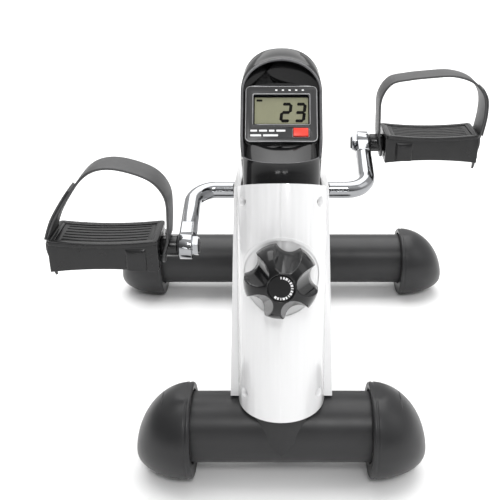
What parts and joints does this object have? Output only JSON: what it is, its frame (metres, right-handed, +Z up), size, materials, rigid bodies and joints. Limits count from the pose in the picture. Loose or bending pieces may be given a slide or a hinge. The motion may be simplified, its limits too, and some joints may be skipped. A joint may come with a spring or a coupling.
{
  "type": "pedal exerciser",
  "caption": "Desk-side pedal exerciser: cranked pedals with straps on a leaning column, with a brake knob, a counter and a two-bar base.",
  "frame": {"origin": "on the floor under the middle of the object's box, midway between the two foot tubes", "axes": "+X to the user's right, +Y away from the user, +Z up"},
  "size_m": [0.399, 0.4158, 0.3448],
  "materials": {
    "frame_paint": "satin charcoal powder coat",
    "bracket_paint": "satin black",
    "cap_rubber": "satin moulded",
    "housing_white": "gloss",
    "zinc_steel": "bright zinc",
    "counter_black": "semi gloss",
    "console_black": "high gloss",
    "window_clear": "clear",
    "lcd": "olive grey display",
    "board_green": "solder mask",
    "button_red": "satin red",
    "lead_black": "smooth",
    "drum_iron": "turned",
    "felt": "pressed felt",
    "bush_nylon": "natural nylon",
    "knob_black": "high gloss",
    "crank_chrome": "polished",
    "spindle_black": "black oxide",
    "pedal_black": "semi gloss",
    "tread_rubber": "grooved",
    "strap_rubber": "satin"
  },
  "bodies": {
    "frame": {"front_foot_tube": "frame_paint", "rear_foot_tube": "frame_paint", "base_beam": "frame_paint", "upright_post": "frame_paint", "bracket_left": "bracket_paint", "bracket_right": "bracket_paint", "bush_left": "bush_nylon", "bush_right": "bush_nylon", "front_cap_left": "cap_rubber", "front_cap_right": "cap_rubber", "rear_cap_left": "cap_rubber", "rear_cap_right": "cap_rubber", "housing_left": "housing_white", "housing_right": "housing_white", "housing_screws": "zinc_steel", "shoulder_plugs": "counter_black", "knob_washer": "zinc_steel", "console_body": "console_black", "console_back": "console_black", "console_screws": "zinc_steel", "speed_sensor": "counter_black", "sensor_lead": "lead_black", "brake_band": "zinc_steel", "band_lining": "felt", "band_anchor": "bracket_paint"},
    "crank": {"crank": "crank_chrome", "brake_drum": "drum_iron", "drum_magnet": "zinc_steel", "spindle_left": "spindle_black", "spindle_right": "spindle_black", "spindle_nut_left": "crank_chrome", "spindle_nut_right": "crank_chrome", "pedal_nut_left": "zinc_steel", "pedal_nut_right": "zinc_steel"},
    "pedal_left": {"pedal_left": "pedal_black", "tread_left": "tread_rubber", "pedal_bushes_left": "bush_nylon", "pedal_sleeve_left": "pedal_black", "strap_left": "strap_rubber"},
    "pedal_right": {"pedal_right": "pedal_black", "tread_right": "tread_rubber", "pedal_bushes_right": "bush_nylon", "pedal_sleeve_right": "pedal_black", "strap_right": "strap_rubber"},
    "tension": {"tension_knob": "knob_black", "tension_rod": "zinc_steel", "knob_cap": "knob_black"},
    "puller": {"band_puller": "zinc_steel"},
    "counter": {"counter_case": "counter_black", "counter_window": "window_clear", "counter_display": "lcd", "circuit_board": "board_green", "battery": "zinc_steel"},
    "battery_door": {"battery_cover": "counter_black"},
    "reset": {"reset_button": "button_red"}
  },
  "joints": [
    {"name": "crank_turn", "type": "hinge", "parent": "frame", "child": "crank", "pos_m": [0, -0.05271, 0.21603], "axis": [1, 0, 0], "continuous": true},
    {"name": "pedal_left_spin", "type": "hinge", "parent": "crank", "child": "pedal_left", "pos_m": [-0.1419, -0.12557, 0.19445], "axis": [1, 0, 0], "continuous": true},
    {"name": "pedal_right_spin", "type": "hinge", "parent": "crank", "child": "pedal_right", "pos_m": [0.1419, 0.02016, 0.23762], "axis": [1, 0, 0], "continuous": true},
    {"name": "knob_turn", "type": "hinge", "parent": "frame", "child": "tension", "pos_m": [0, -0.17882, 0.19075], "axis": [0, 0.9744, -0.225], "range_deg": [0, 2304]},
    {"name": "band_pull", "type": "slide", "parent": "frame", "child": "puller", "axis": [0, -0.9744, 0.225], "range_m": [0, 0.008]},
    {"name": "counter_pull", "type": "slide", "parent": "frame", "child": "counter", "axis": [0, -0.766, 0.6428], "range_m": [0, 0.02]},
    {"name": "battery_cover_turn", "type": "hinge", "parent": "counter", "child": "battery_door", "pos_m": [0, -0.10308, 0.29322], "axis": [0, -0.766, 0.6428], "range_deg": [0, 45]},
    {"name": "reset_press", "type": "slide", "parent": "counter", "child": "reset", "axis": [0, 0.766, -0.6428], "range_m": [0, 0.0009], "stiffness_N_per_m": 1500}
  ],
  "couplings": [
    {"joint": "band_pull", "follows": "knob_turn", "m_per_rad": 0.00019894}
  ]
}
